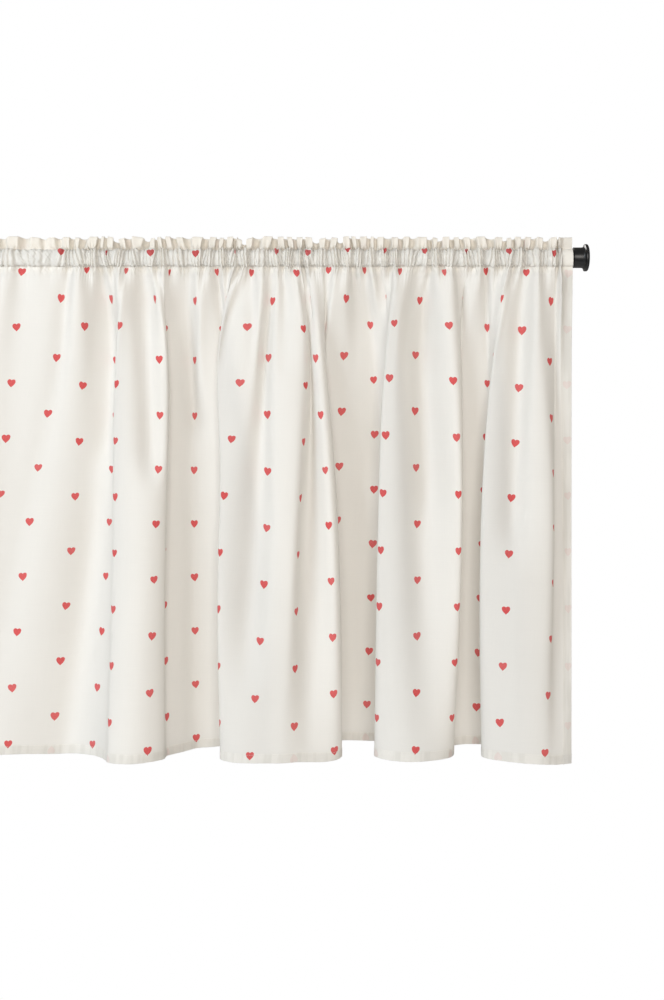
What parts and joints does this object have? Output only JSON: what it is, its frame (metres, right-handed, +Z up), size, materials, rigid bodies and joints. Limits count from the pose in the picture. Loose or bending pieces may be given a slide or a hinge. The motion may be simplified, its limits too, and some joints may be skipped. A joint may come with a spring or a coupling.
{
  "type": "cafe curtain on a rod",
  "caption": "Short gathered cafe curtain in cream cotton with small hearts, a ruffled heading and a rod pocket, hung on a plain round rod with black end caps.",
  "frame": {"origin": "on the rod's axis, at the middle of its length", "axes": "+X along the rod to the viewer's right, -Y the front of the curtain, +Z up"},
  "size_m": [0.951, 0.1034, 0.5986],
  "materials": {
    "printed_cotton": "plain woven cream cotton, matt, printed with small coral red hearts in a half-drop repeat",
    "dark_steel": "thin dark enamel on a steel tube",
    "satin_black": "moulded plastic, satin black"
  },
  "bodies": {
    "root": {"curtain_panel": "printed_cotton", "rod": "dark_steel", "end_cap_left": "satin_black", "end_cap_right": "satin_black"}
  },
  "joints": []
}
